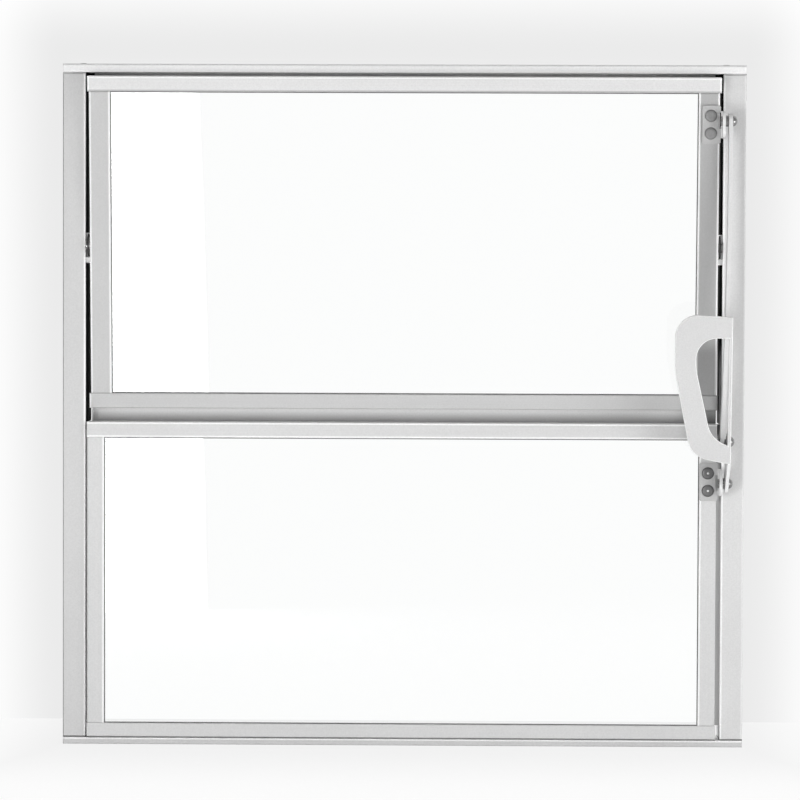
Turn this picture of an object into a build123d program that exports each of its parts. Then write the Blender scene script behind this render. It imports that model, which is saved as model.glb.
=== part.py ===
"""Aluminium pivot window: a frame, a pivoted upper light worked by a lever and link, and a fixed lower light.

Millimetres and degrees. X runs to the right and Y out of the building, both seen from the room; Z is up.
The origin is the middle of the sill's underside.
"""
from build123d import *
import math
import os

# Outer frame
FRAME_WIDTH = 600.0
FRAME_HEIGHT = 600.0
FRAME_DEPTH = 36.0
JAMB_FACE = 20.0
HEAD_FACE = 7.4
SILL_FACE = 6.0
WALL = 1.4
EDGE_RADIUS = 0.9
JAMB_LIP = 6.0
SCREW_PORT_OUTER = 3.4
SCREW_PORT_INNER = 2.1
SCREW_PORT_MOUTH = 2.2
SCREW_PORT_INSET = 8.5
SCREW_PORT_PITCH = 10.0
CORNER_SEAL = 1.0
HEAD_STOP_DROP = 14.0
HEAD_STOP_PAD = 6.0

# Profiles of both lights
PANEL_DEPTH = 22.0
PANEL_PROUD = 4.0
RAIL_GAP = 2.7
GLAZING_LEG = 6.4
GASKET = 1.0
GASKET_LIP = 0.8
GLASS_THICKNESS = 3.0
GLASS_COVER = 4.5
BEAD_DEPTH = 9.0
BEAD_EDGE = 1.2
BEAD_SHY = 0.5

# Pivoted upper light, drawn closed and then swung ajar
SASH_TOP_GAP = 3.0
SASH_BOTTOM_GAP = 12.2
SASH_TOP_RAIL = 13.4
SASH_BOTTOM_RAIL = 13.2
SASH_STILE = 18.4
SASH_STILE_INSET = 1.5
SASH_AJAR = 4.5
WEATHER_GAP = 2.0
WEATHER_DROP = 23.0

# Fixed lower light, packed against the left jamb
FIXED_HEIGHT = 278.0
FIXED_TOP_RAIL = 13.5
FIXED_BOTTOM_RAIL = 12.0
FIXED_STILE = 15.0
FIXED_STILE_INSET = 0.5
FIXED_SHIFT = -1.4
SILL_GASKET = 1.3
SILL_GASKET_WIDTH = 16.0
PACKER_SETBACK = 7.0
PACKER_DEPTH = 10.0

# Side pivots
PIVOT_BELOW_MIDDLE = 3.55
PIVOT_RADIUS = 4.0
PIVOT_HEAD_RADIUS = 5.2
PIVOT_HEAD = 2.0
PIVOT_TIP_SHY = 0.7
PIVOT_WASHER_RADIUS = 11.0
PIVOT_WASHER = 1.0
PIVOT_WASHER_SPACE = 1.6
PIVOT_FOOT_SPACE = 0.5
PIVOT_FOOT_WIDTH = 8.0
PIVOT_FOOT_DROP = 14.2
PIVOT_FOOT_HEIGHT = 5.0
SIDE_SEAL = 1.8
SIDE_SEAL_WIDTH = 30.0
SIDE_SEAL_SPACE = 0.8

# Fits
RUNNING_FIT = 0.08
END_FLOAT = 0.3

# Stamped brackets for the lever and the link
BRACKET_THICKNESS = 2.5
BRACKET_WIDTH = 19.4
BRACKET_HEIGHT = 33.3
BRACKET_BEND = 1.0
BRACKET_CORNER = 1.0
LEVER_BRACKET_RISE = 0.9
LINK_BRACKET_DROP = 3.4
LUG_INSET = 0.1
LUG_HEIGHT = 23.4
LUG_ROUND = 8.0
LUG_NOSE = 7.0
SLOT_LENGTH = 14.0
SLOT_WIDTH = 2.5
SLOT_WEB = 0.7
RIVET_INSET = 7.4
RIVET_PITCH = 15.4
RIVET_HEAD_RADIUS = 5.2
RIVET_HEAD = 1.4
RIVET_HEAD_BEVEL = 0.8

# Lever and link
PIN_FORWARD = 13.0
PIN_RADIUS = 3.0
PIN_COLLAR_RADIUS = 5.0
PIN_HEAD_RADIUS = 4.7
PIN_HEAD = 4.0
PIN_HEAD_BEVEL = 2.2
FULCRUM_BELOW_TRANSOM = 51.5
LINK_PIN_BELOW_TOP = 37.2
LEVER_PER_SASH = 1.65
LEVER_THICKNESS = 2.8
LEVER_SPACE = 2.2
LEVER_PIN_FORWARD = 15.0
LEVER_PIN_UP = 40.0
LEVER_PIN_RADIUS = 2.3
LEVER_FOOT_RADIUS = 8.0
LEVER_BOSS_RADIUS = 7.5
LEVER_LIP = 5.0
LEVER_WEB_TOP = 50.0
LEVER_EDGE = 0.7
GRIP_FORWARD = 30.0
GRIP_TOP = 151.4
GRIP_TOP_RISE = 2.7
GRIP_BOTTOM = 22.5
GRIP_WIDTH = 49.5
GRIP_SHOULDER = 104.0
GRIP_NECK_WIDTH = 34.9
GRIP_NECK = 29.1
GRIP_TOP_ROUND = 19.0
GRIP_SHOULDER_ROUND = 60.0
GRIP_NECK_ROUND = 22.0
GRIP_RIM = 18.3
GRIP_RIM_TOP = 18.4
OPENING_SHOULDER = 106.0
OPENING_KNEE_WIDTH = 17.4
OPENING_KNEE = 45.1
OPENING_BOTTOM = 38.9
OPENING_TOP_ROUND = 18.0
OPENING_SHOULDER_ROUND = 60.0
OPENING_KNEE_ROUND = 24.0
LINK_WIDTH = 13.0
LINK_THICKNESS = 3.5
LINK_SPACE = 2.9
LINK_BOW = 6.6
LINK_OPEN_PLAY = 2.0
LEVER_PIN_REACH = 0.8
LEVER_PIN_WASHER = 1.2
LEVER_PIN_WASHER_RADIUS = 6.5

# Places that follow from the sizes above
FRONT = -FRAME_DEPTH / 2
HALF_WIDTH = FRAME_WIDTH / 2
HALF_OPENING = HALF_WIDTH - JAMB_FACE
HALF_RAIL = HALF_OPENING - RAIL_GAP
RAIL_LENGTH = 2 * HALF_RAIL
JAMB_BOTTOM = SILL_FACE + CORNER_SEAL
HEAD_UNDERSIDE = FRAME_HEIGHT - HEAD_FACE
JAMB_TOP = HEAD_UNDERSIDE - CORNER_SEAL
PANEL_FRONT = FRONT - PANEL_PROUD
PANEL_BACK = PANEL_FRONT + PANEL_DEPTH
GLASS_FRONT = PANEL_FRONT + WALL + GASKET
GLASS_BACK = GLASS_FRONT + GLASS_THICKNESS
STOP_FRONT = PANEL_BACK + WEATHER_GAP
STOP_BACK = STOP_FRONT + WALL
STOP_BOTTOM = HEAD_UNDERSIDE - HEAD_STOP_DROP
FIXED_BOTTOM = SILL_FACE + SILL_GASKET
FIXED_TOP = FIXED_BOTTOM + FIXED_HEIGHT
SASH_BOTTOM = FIXED_TOP + SASH_BOTTOM_GAP
SASH_TOP = HEAD_UNDERSIDE - SASH_TOP_GAP
PIVOT_Y = PANEL_FRONT + PANEL_DEPTH / 2
PIVOT_HEIGHT = (SASH_BOTTOM + SASH_TOP) / 2 - PIVOT_BELOW_MIDDLE
PIN_Y = FRONT - PIN_FORWARD
LINK_PIN_HEIGHT = SASH_TOP - LINK_PIN_BELOW_TOP
FULCRUM_HEIGHT = FIXED_TOP - FULCRUM_BELOW_TRANSOM
SASH_STILE_OUTER = HALF_RAIL - SASH_STILE_INSET
LUG_RIGHT = HALF_OPENING - LUG_INSET
LUG_LEFT = LUG_RIGHT - BRACKET_THICKNESS
LINK_TOP_X = LUG_RIGHT + LINK_SPACE + LINK_THICKNESS / 2
LEVER_LEFT = LUG_RIGHT + LEVER_SPACE
LEVER_RIGHT = LEVER_LEFT + LEVER_THICKNESS
LINK_FOOT_X = LINK_TOP_X - LINK_BOW
TOUCH = 0.001

OUTWARDS = Vector(0, 1, 0)
PIVOT_AXIS = Axis((0, PIVOT_Y, PIVOT_HEIGHT), (1, 0, 0))
FULCRUM_AXIS = Axis((0, PIN_Y, FULCRUM_HEIGHT), (1, 0, 0))


def slab(low, high):
    """Box between two opposite corners."""
    size = [b - a for a, b in zip(low, high)]
    middle = [(a + b) / 2 for a, b in zip(low, high)]
    return Pos(*middle) * Box(*size)


def bore(start_x, end_x, y, z, radius):
    """Round bar along X, used for shanks and for their holes."""
    bar = Rot(0, 90, 0) * Cylinder(radius, end_x - start_x)
    return Pos((start_x + end_x) / 2, y, z) * bar


def button(radius, height, bevel):
    """Low round head standing on its base, axis +Z: a bevel up to a flat crown."""
    profile = outline([(0, 0), (radius, 0), (radius - bevel, height), (0, height)])
    return revolve(Plane.XZ * profile, Axis.Z)


def outline(points):
    """Flat face inside a closed run of straight lines."""
    return make_face(Polyline(*points, close=True))


def strip(across_from, across_to, out_from, out_to):
    """Rectangle in a profile's own plane: across its face, then outwards."""
    corners = [(across_from, out_from), (across_to, out_from), (across_to, out_to), (across_from, out_to)]
    return outline(corners)


def soften_front(member):
    """Round all edges of the face towards the room, at the sawn ends too."""
    face = member.faces().filter_by(Axis.Y).sort_by(Axis.Y)[0]
    return fillet(face.edges(), EDGE_RADIUS)


def run_profile(section, start, across, length):
    """Push a section along its member: its first axis lies across the face, its second points outwards."""
    across = Vector(*across)
    plane = Plane(start, x_dir=across, z_dir=across.cross(OUTWARDS))
    return extrude(plane * section, amount=length)


def jamb_section():
    """Channel open to the wall, with turned-in lips and two screw ports behind its web."""
    lip_start = JAMB_FACE - WALL
    section = outline([
        (0, 0),
        (JAMB_FACE, 0),
        (JAMB_FACE, JAMB_LIP),
        (lip_start, JAMB_LIP),
        (lip_start, WALL),
        (WALL, WALL),
        (WALL, FRAME_DEPTH - WALL),
        (lip_start, FRAME_DEPTH - WALL),
        (lip_start, FRAME_DEPTH - JAMB_LIP),
        (JAMB_FACE, FRAME_DEPTH - JAMB_LIP),
        (JAMB_FACE, FRAME_DEPTH),
        (0, FRAME_DEPTH),
    ])
    centre = WALL + SCREW_PORT_INNER
    rear_port = FRAME_DEPTH - SCREW_PORT_INSET
    mouth = SCREW_PORT_MOUTH / 2
    for out in (rear_port - SCREW_PORT_PITCH, rear_port):
        section += strip(WALL, centre + SCREW_PORT_OUTER, out - SCREW_PORT_OUTER, out + SCREW_PORT_OUTER)
        section -= Pos(centre, out) * Circle(SCREW_PORT_INNER)
        section -= strip(centre, centre + 2 * SCREW_PORT_OUTER, out - mouth, out + mouth)
    return section


def jamb(side):
    """Upright of the frame, bored for the side pivot; side is -1 on the left and +1 on the right."""
    start_z = JAMB_BOTTOM if side > 0 else JAMB_TOP
    start = (side * HALF_OPENING, FRONT, start_z)
    upright = soften_front(run_profile(jamb_section(), start, (side, 0, 0), JAMB_TOP - JAMB_BOTTOM))
    web = sorted((side * (HALF_OPENING - WALL), side * (HALF_OPENING + 2 * WALL)))
    return upright - bore(*web, PIVOT_Y, PIVOT_HEIGHT, PIVOT_RADIUS + RUNNING_FIT)


def head():
    """Flat hollow section over the jambs; between them a stop hangs behind the light's top rail."""
    stop = STOP_FRONT - FRONT
    section = strip(0, HEAD_FACE, 0, FRAME_DEPTH)
    section += strip(HEAD_FACE - WALL, HEAD_FACE + HEAD_STOP_DROP, stop, stop + WALL)
    section -= strip(WALL, HEAD_FACE - WALL, WALL, FRAME_DEPTH - WALL)
    member = run_profile(section, (-HALF_WIDTH, FRONT, FRAME_HEIGHT), (0, 0, -1), FRAME_WIDTH)
    trim = JAMB_FACE + HEAD_STOP_PAD
    for start in (-HALF_WIDTH, HALF_WIDTH - trim):
        member -= slab((start, FRONT, STOP_BOTTOM), (start + trim, -FRONT, HEAD_UNDERSIDE))
    return soften_front(member)


def sill():
    """Flat hollow section under the jambs."""
    section = strip(0, SILL_FACE, 0, FRAME_DEPTH)
    section -= strip(WALL, SILL_FACE - WALL, WALL, FRAME_DEPTH - WALL)
    return soften_front(run_profile(section, (HALF_WIDTH, FRONT, 0), (0, 0, 1), FRAME_WIDTH))


def corner_seals():
    """Thin pads under and over both jamb ends."""
    pads = []
    for inner in (-HALF_WIDTH, HALF_OPENING):
        for low in (SILL_FACE, JAMB_TOP):
            pads.append(slab((inner, FRONT, low), (inner + JAMB_FACE, -FRONT, low + CORNER_SEAL)))
    return pads


def side_seals():
    """Weather strips on the jambs, broken at the pivots, and pads at the ends of the head's stop."""
    half = SIDE_SEAL_WIDTH / 2
    below = PIVOT_HEIGHT - PIVOT_FOOT_DROP - SIDE_SEAL_SPACE
    above = PIVOT_HEIGHT + PIVOT_WASHER_RADIUS + SIDE_SEAL_SPACE
    spans = ((FIXED_TOP, below), (above, HEAD_UNDERSIDE))
    strips = []
    for side in (-1, 1):
        wall, face, end = (side * (HALF_OPENING - inset) for inset in (0, SIDE_SEAL, HEAD_STOP_PAD))
        left, right = sorted((wall, face))
        for low, high in spans:
            strips.append(slab((left, -half, low), (right, half, high)))
        left, right = sorted((face, end))
        strips.append(slab((left, STOP_FRONT, STOP_BOTTOM), (right, STOP_BACK, HEAD_UNDERSIDE)))
    return strips


def panel_section(face):
    """Hollow member with a glazing leg that stands in front of the glass."""
    hollow = face - GLAZING_LEG
    section = strip(0, hollow, 0, PANEL_DEPTH) + strip(hollow, face, 0, WALL)
    section -= strip(WALL, hollow - WALL, WALL, PANEL_DEPTH - WALL)
    return section


def weather_section(face):
    """Bottom rail of the upper light, with the flange that hangs down outside the fixed light."""
    behind = PANEL_DEPTH + WEATHER_GAP
    section = panel_section(face)
    section += strip(0, WALL, PANEL_DEPTH - WALL, behind + WALL)
    section += strip(-WEATHER_DROP, WALL, behind, behind + WALL)
    return section


def bead_section(face):
    """Sloped glazing bead that holds the glass from outside."""
    foot = face - GLAZING_LEG
    lip = face - BEAD_SHY
    glass = GLASS_BACK - PANEL_FRONT
    return outline([
        (foot, glass),
        (lip, glass),
        (lip, glass + BEAD_EDGE),
        (foot + BEAD_EDGE, glass + BEAD_DEPTH),
        (foot, glass + BEAD_DEPTH),
    ])


class Light:
    """One glazed panel: rails run through and the stiles stand between them."""

    def __init__(self, centre, bottom, top, bottom_rail, top_rail, stile, inset):
        self.centre = centre
        self.bottom = bottom
        self.top = top
        self.bottom_rail = bottom_rail
        self.top_rail = top_rail
        self.stile = stile
        self.half_stile = HALF_RAIL - inset
        self.half_clear = self.half_stile - stile

    def rail(self, section, upper):
        """Top or bottom rail, pushed along the whole width."""
        start = (self.centre + HALF_RAIL, PANEL_FRONT, self.bottom)
        across = (0, 0, 1)
        if upper:
            start = (self.centre - HALF_RAIL, PANEL_FRONT, self.top)
            across = (0, 0, -1)
        return soften_front(run_profile(section, start, across, RAIL_LENGTH))

    def upright(self, side):
        """Stile seated on the rails, coped at both ends to pass behind their glazing legs."""
        low = self.bottom + self.bottom_rail - GLAZING_LEG
        high = self.top - self.top_rail + GLAZING_LEG
        start_z = low if side < 0 else high
        start = (self.centre + side * self.half_stile, PANEL_FRONT, start_z)
        member = run_profile(panel_section(self.stile), start, (-side, 0, 0), high - low)
        for cope in (low, high - GLAZING_LEG):
            reach = self.half_stile + WALL
            member -= slab(
                (self.centre - reach, PANEL_FRONT - WALL, cope),
                (self.centre + reach, PANEL_FRONT + WALL, cope + GLAZING_LEG),
            )
        return soften_front(member)

    def sheet(self, margin, front, back):
        """Flat rectangle that reaches past the clear opening by a margin."""
        low_z = self.bottom + self.bottom_rail - margin
        high_z = self.top - self.top_rail + margin
        half = self.half_clear + margin
        return slab((self.centre - half, front, low_z), (self.centre + half, back, high_z))

    def glass(self):
        """Clear pane held under the glazing legs."""
        return self.sheet(GLASS_COVER, GLASS_FRONT, GLASS_BACK)

    def gasket(self):
        """Flat seal between the glazing legs and the glass, with a narrow lip in view."""
        front = PANEL_FRONT + WALL
        return self.sheet(GLASS_COVER, front, GLASS_FRONT) - self.sheet(-GASKET_LIP, front - WALL, GLASS_BACK)

    def beads(self):
        """Two long beads between the stiles and two short ones between those."""
        half = self.half_clear + GLAZING_LEG
        low = self.bottom + self.bottom_rail - BEAD_SHY
        high = self.top - self.top_rail + BEAD_SHY
        left = self.centre - self.half_stile
        right = self.centre + self.half_stile
        upper = bead_section(self.top_rail)
        lower = bead_section(self.bottom_rail)
        side = bead_section(self.stile)
        return [
            run_profile(upper, (self.centre - half, PANEL_FRONT, self.top), (0, 0, -1), 2 * half),
            run_profile(lower, (self.centre + half, PANEL_FRONT, self.bottom), (0, 0, 1), 2 * half),
            run_profile(side, (left, PANEL_FRONT, low), (1, 0, 0), high - low),
            run_profile(side, (right, PANEL_FRONT, high), (-1, 0, 0), high - low),
        ]


SASH = Light(0.0, SASH_BOTTOM, SASH_TOP, SASH_BOTTOM_RAIL, SASH_TOP_RAIL, SASH_STILE, SASH_STILE_INSET)
FIXED = Light(
    FIXED_SHIFT, FIXED_BOTTOM, FIXED_TOP, FIXED_BOTTOM_RAIL, FIXED_TOP_RAIL, FIXED_STILE, FIXED_STILE_INSET
)


class Bracket:
    """Stamped angle held to a stile by two rivets, with a lug folded towards the room for a pin along X."""

    def __init__(self, pin_z, offset):
        self.left = LUG_RIGHT - BRACKET_WIDTH
        self.pin_z = pin_z
        self.middle = pin_z + offset
        self.front = PANEL_FRONT - BRACKET_THICKNESS
        self.rivet_x = self.left + RIVET_INSET
        self.rivet_z = [self.middle - RIVET_PITCH / 2, self.middle + RIVET_PITCH / 2]

    def plate(self):
        """Angle with its lug shorter than its plate, clipped, slotted at the fold and bored for the pin."""
        fold = LUG_LEFT - BRACKET_BEND
        plate = slab(
            (self.left, self.front, self.middle - BRACKET_HEIGHT / 2),
            (fold, PANEL_FRONT, self.middle + BRACKET_HEIGHT / 2),
        )
        plate = chamfer(plate.edges().filter_by(Axis.Y), BRACKET_CORNER)
        nose = PIN_Y - LUG_NOSE
        angle = outline([
            (fold - BRACKET_CORNER, PANEL_FRONT),
            (LUG_RIGHT, PANEL_FRONT),
            (LUG_RIGHT, nose),
            (LUG_LEFT, nose),
            (LUG_LEFT, self.front),
            (fold - BRACKET_CORNER, self.front),
        ])
        heel = [v for v in angle.vertices() if v.X > LUG_RIGHT - TOUCH and v.Y > PANEL_FRONT - TOUCH]
        angle = fillet(heel, BRACKET_BEND + BRACKET_THICKNESS)
        crook = [v for v in angle.vertices() if abs(v.X - LUG_LEFT) < TOUCH and abs(v.Y - self.front) < TOUCH]
        angle = fillet(crook, BRACKET_BEND)
        lug = extrude(Pos(0, 0, self.middle - LUG_HEIGHT / 2) * angle, amount=LUG_HEIGHT)
        lug = fillet(lug.edges().filter_by(Axis.X).group_by(Axis.Y)[0], LUG_ROUND)
        body = plate + lug
        body -= slab(
            (LUG_LEFT - SLOT_WEB - SLOT_WIDTH, self.front - WALL, self.pin_z - SLOT_LENGTH / 2),
            (LUG_LEFT - SLOT_WEB, PANEL_FRONT + WALL, self.pin_z + SLOT_LENGTH / 2),
        )
        body -= bore(LUG_LEFT - WALL, LUG_RIGHT + WALL, PIN_Y, self.pin_z, PIN_RADIUS + RUNNING_FIT)
        return body

    def riveted(self):
        """Plate with both rivets closed on it, whose heads stand on its face."""
        head = Rot(90, 0, 0) * button(RIVET_HEAD_RADIUS, RIVET_HEAD, RIVET_HEAD_BEVEL)
        body = self.plate()
        for z in self.rivet_z:
            body += Pos(self.rivet_x, self.front, z) * head
        return body


LEVER_BRACKET = Bracket(FULCRUM_HEIGHT, LEVER_BRACKET_RISE)
LINK_BRACKET = Bracket(LINK_PIN_HEIGHT, -LINK_BRACKET_DROP)


def swing_sash(piece):
    """Turn a piece of the upper light from shut to ajar."""
    return piece.rotate(PIVOT_AXIS, SASH_AJAR)


def swing_lever(piece):
    """Turn a piece of the lever by the share that goes with the light."""
    return piece.rotate(FULCRUM_AXIS, SASH_AJAR * LEVER_PER_SASH)


def sash_stile(side):
    """Stile of the upper light, bored for its pivot."""
    member = SASH.upright(side)
    reach = sorted((side * (SASH_STILE_OUTER - SASH_STILE), side * (SASH_STILE_OUTER + WALL)))
    member -= bore(*reach, PIVOT_Y, PIVOT_HEIGHT, PIVOT_RADIUS + RUNNING_FIT)
    return swing_sash(member)


def fixed_packer():
    """Strip that fills the wider gap between the fixed light and the right jamb."""
    low = FIXED_BOTTOM + FIXED_BOTTOM_RAIL
    high = FIXED_TOP - FIXED_TOP_RAIL
    front = PANEL_FRONT + PACKER_SETBACK
    stile_face = FIXED_SHIFT + FIXED.half_stile
    return slab((stile_face, front, low), (HALF_OPENING, front + PACKER_DEPTH, high))


def sill_gasket():
    """Setting strip between the sill and the fixed light."""
    middle = (PANEL_FRONT + PANEL_BACK) / 2
    half = SILL_GASKET_WIDTH / 2
    return slab(
        (FIXED_SHIFT - HALF_RAIL, middle - half, SILL_FACE),
        (FIXED_SHIFT + HALF_RAIL, middle + half, FIXED_BOTTOM),
    )


def pivot_pin(side):
    """Headed pin from inside the jamb's channel, through its web and both walls of the stile."""
    web_back = HALF_OPENING + WALL
    tip = SASH_STILE_OUTER - (SASH_STILE - GLAZING_LEG) + PIVOT_TIP_SHY
    shank = sorted((side * tip, side * web_back))
    cap = sorted((side * web_back, side * (web_back + PIVOT_HEAD)))
    pin = bore(*shank, PIVOT_Y, PIVOT_HEIGHT, PIVOT_RADIUS)
    return pin + bore(*cap, PIVOT_Y, PIVOT_HEIGHT, PIVOT_HEAD_RADIUS)


def pivot_washer(side):
    """Thin disc on the pin, in the gap between the stile and the jamb, with a foot that seats on the jamb."""
    start = SASH_STILE_OUTER + PIVOT_WASHER_SPACE
    span = sorted((side * start, side * (start + PIVOT_WASHER)))
    left, right = sorted((side * (SASH_STILE_OUTER + PIVOT_FOOT_SPACE), side * HALF_OPENING))
    half = PIVOT_FOOT_WIDTH / 2
    low = PIVOT_HEIGHT - PIVOT_FOOT_DROP
    foot = slab((left, PIVOT_Y - half, low), (right, PIVOT_Y + half, low + PIVOT_FOOT_HEIGHT))
    disc = bore(*span, PIVOT_Y, PIVOT_HEIGHT, PIVOT_WASHER_RADIUS) + foot
    return disc - bore(*span, PIVOT_Y, PIVOT_HEIGHT, PIVOT_RADIUS + RUNNING_FIT)


def headed_pin(y, z, start, steps):
    """Pin along X: plain steps given as end and radius, and a button head on the last."""
    head = Rot(0, 90, 0) * button(PIN_HEAD_RADIUS, PIN_HEAD, PIN_HEAD_BEVEL)
    pin = Pos(steps[-1][0], y, z) * head
    for end, radius in steps:
        pin += bore(start, end, y, z, radius)
        start = end
    return pin


def fulcrum_pin():
    """Pin set flush in the lever bracket's lug; the lever turns on it between a collar and the head."""
    steps = [
        (LUG_RIGHT, PIN_RADIUS),
        (LEVER_LEFT - END_FLOAT, PIN_COLLAR_RADIUS),
        (LEVER_RIGHT + END_FLOAT, PIN_RADIUS),
    ]
    return headed_pin(PIN_Y, FULCRUM_HEIGHT, LUG_LEFT, steps)


def link_top_pin():
    """Pin set flush in the link bracket's lug; the link hangs on it between a collar and the head."""
    half = LINK_THICKNESS / 2 + END_FLOAT
    steps = [
        (LUG_RIGHT, PIN_RADIUS),
        (LINK_TOP_X - half, PIN_COLLAR_RADIUS),
        (LINK_TOP_X + half, PIN_RADIUS),
    ]
    return swing_sash(headed_pin(PIN_Y, LINK_PIN_HEIGHT, LUG_LEFT, steps))


def lever_pin():
    """Pin set in the lever's flange that carries the link's foot between the flange and a washer."""
    y = PIN_Y - LEVER_PIN_FORWARD
    z = FULCRUM_HEIGHT + LEVER_PIN_UP
    washer_right = LINK_FOOT_X - LINK_THICKNESS / 2 - LEVER_PIN_REACH
    steps = [(washer_right, LEVER_PIN_WASHER_RADIUS), (LEVER_RIGHT, LEVER_PIN_RADIUS)]
    return swing_lever(headed_pin(y, z, washer_right - LEVER_PIN_WASHER, steps))


def rounded_outline(points, rounds):
    """Closed outline whose corners are rounded by the radius given for each, or left sharp."""
    face = outline(points)
    for point, radius in zip(points, rounds):
        if radius:
            corner = [v for v in face.vertices() if abs(v.X - point[0]) + abs(v.Y - point[1]) < TOUCH]
            face = fillet(corner, radius)
    return face


def lever_handle():
    """Stamped lever: a broad grip plate with a finger opening, and a flange bored for both pins."""
    grip_face = rounded_outline(
        [
            (0, GRIP_TOP),
            (-GRIP_WIDTH, GRIP_TOP + GRIP_TOP_RISE),
            (-GRIP_WIDTH, GRIP_SHOULDER),
            (-GRIP_NECK_WIDTH, GRIP_NECK),
            (0, GRIP_BOTTOM),
        ],
        [0, GRIP_TOP_ROUND, GRIP_SHOULDER_ROUND, GRIP_NECK_ROUND, 0],
    )
    opening_top = GRIP_TOP - GRIP_RIM_TOP
    opening_left = GRIP_WIDTH - GRIP_RIM
    grip_face -= rounded_outline(
        [
            (-LEVER_THICKNESS, opening_top),
            (-opening_left, opening_top),
            (-opening_left, OPENING_SHOULDER),
            (-OPENING_KNEE_WIDTH, OPENING_KNEE),
            (-LEVER_THICKNESS, OPENING_BOTTOM),
        ],
        [0, OPENING_TOP_ROUND, OPENING_SHOULDER_ROUND, OPENING_KNEE_ROUND, 0],
    )
    grip_back = PIN_Y - GRIP_FORWARD + LEVER_THICKNESS
    grip_plane = Plane((LEVER_RIGHT, grip_back, FULCRUM_HEIGHT), x_dir=(1, 0, 0), z_dir=(0, -1, 0))
    grip = extrude(grip_plane * grip_face, amount=LEVER_THICKNESS)

    boss = Pos(-LEVER_PIN_FORWARD, LEVER_PIN_UP) * Circle(LEVER_BOSS_RADIUS)
    root = strip(-GRIP_FORWARD, LEVER_LIP - GRIP_FORWARD, GRIP_BOTTOM, LEVER_WEB_TOP)
    foot = make_hull(Circle(LEVER_FOOT_RADIUS).edges() + boss.edges() + root.edges())
    foot += strip(-GRIP_FORWARD, LEVER_LIP - GRIP_FORWARD, GRIP_BOTTOM, GRIP_TOP)
    flange_plane = Plane((LEVER_LEFT, PIN_Y, FULCRUM_HEIGHT), x_dir=(0, 1, 0), z_dir=(1, 0, 0))
    flange = extrude(flange_plane * foot, amount=LEVER_THICKNESS)

    lever = grip + flange
    front = lever.faces().filter_by(Axis.Y).sort_by(Axis.Y)[0]
    lever = chamfer(front.edges(), LEVER_EDGE)
    through = (LEVER_LEFT - WALL, LEVER_RIGHT + WALL)
    lever -= bore(*through, PIN_Y, FULCRUM_HEIGHT, PIN_RADIUS + RUNNING_FIT)
    pin_z = FULCRUM_HEIGHT + LEVER_PIN_UP
    lever -= bore(*through, PIN_Y - LEVER_PIN_FORWARD, pin_z, LEVER_PIN_RADIUS + RUNNING_FIT)
    return swing_lever(lever)


def turned(y, z, about_y, about_z, degrees):
    """Point of the side view after a turn about an axis along X."""
    angle = math.radians(degrees)
    dy = y - about_y
    dz = z - about_z
    new_y = about_y + dy * math.cos(angle) - dz * math.sin(angle)
    return new_y, about_z + dy * math.sin(angle) + dz * math.cos(angle)


def link_bar():
    """Flat bar from the light's bracket down to the lever, sprung sideways as it goes down."""
    top = turned(PIN_Y, LINK_PIN_HEIGHT, PIVOT_Y, PIVOT_HEIGHT, SASH_AJAR)
    lever_turn = SASH_AJAR * LEVER_PER_SASH
    lever_pin_z = FULCRUM_HEIGHT + LEVER_PIN_UP
    low = turned(PIN_Y - LEVER_PIN_FORWARD, lever_pin_z, PIN_Y, FULCRUM_HEIGHT, lever_turn)
    length = math.dist(top, low)

    def bend(drop, side):
        """Side of the bar at a drop below its top pin: the bow grows with the square of the drop."""
        return (LINK_TOP_X - LINK_BOW * (drop / length) ** 2 + side * LINK_THICKNESS / 2, -drop)

    drops = (-LINK_WIDTH, length / 2, length + LINK_WIDTH)
    left = [bend(drop, -1) for drop in drops]
    right = [bend(drop, 1) for drop in drops]
    edge_on = make_face([
        ThreePointArc(*left),
        Line(left[2], right[2]),
        ThreePointArc(*right),
        Line(right[0], left[0]),
    ])
    bar = extrude(Plane.XZ * edge_on, amount=LINK_WIDTH, both=True)
    side_plane = Plane((LINK_FOOT_X - LINK_WIDTH, 0, -length / 2), x_dir=(0, 0, 1), z_dir=(1, 0, 0))
    side_view = side_plane * SlotOverall(length + LINK_WIDTH, LINK_WIDTH)
    bar &= extrude(side_view, amount=LINK_BOW + 2 * LINK_WIDTH)
    reach = (LINK_FOOT_X - LINK_WIDTH, LINK_TOP_X + LINK_WIDTH)
    bar -= bore(*reach, 0, 0, PIN_RADIUS + RUNNING_FIT)
    bar -= bore(*reach, 0, -length, LEVER_PIN_RADIUS + LINK_OPEN_PLAY)
    lean = math.degrees(math.atan2(low[0] - top[0], top[1] - low[1]))
    return Pos(0, *top) * (Rot(lean, 0, 0) * bar)


def write(name, solids):
    """One file for each named piece; like pieces on one body share a file as separate solids."""
    pieces = solids if isinstance(solids, list) else [solids]
    shapes = [solid for piece in pieces for solid in piece.solids()]
    shape = shapes[0] if len(shapes) == 1 else Compound(shapes)
    export_step(shape, os.path.join("parts", name + ".step"))


os.makedirs("parts", exist_ok=True)

write("left_jamb", jamb(-1))
write("right_jamb", jamb(1))
write("head", head())
write("sill", sill())
write("corner_seals", corner_seals())
write("side_seals", side_seals())
write("left_pivot_pin", pivot_pin(-1))
write("right_pivot_pin", pivot_pin(1))
write("left_pivot_washer", pivot_washer(-1))
write("right_pivot_washer", pivot_washer(1))

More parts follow.
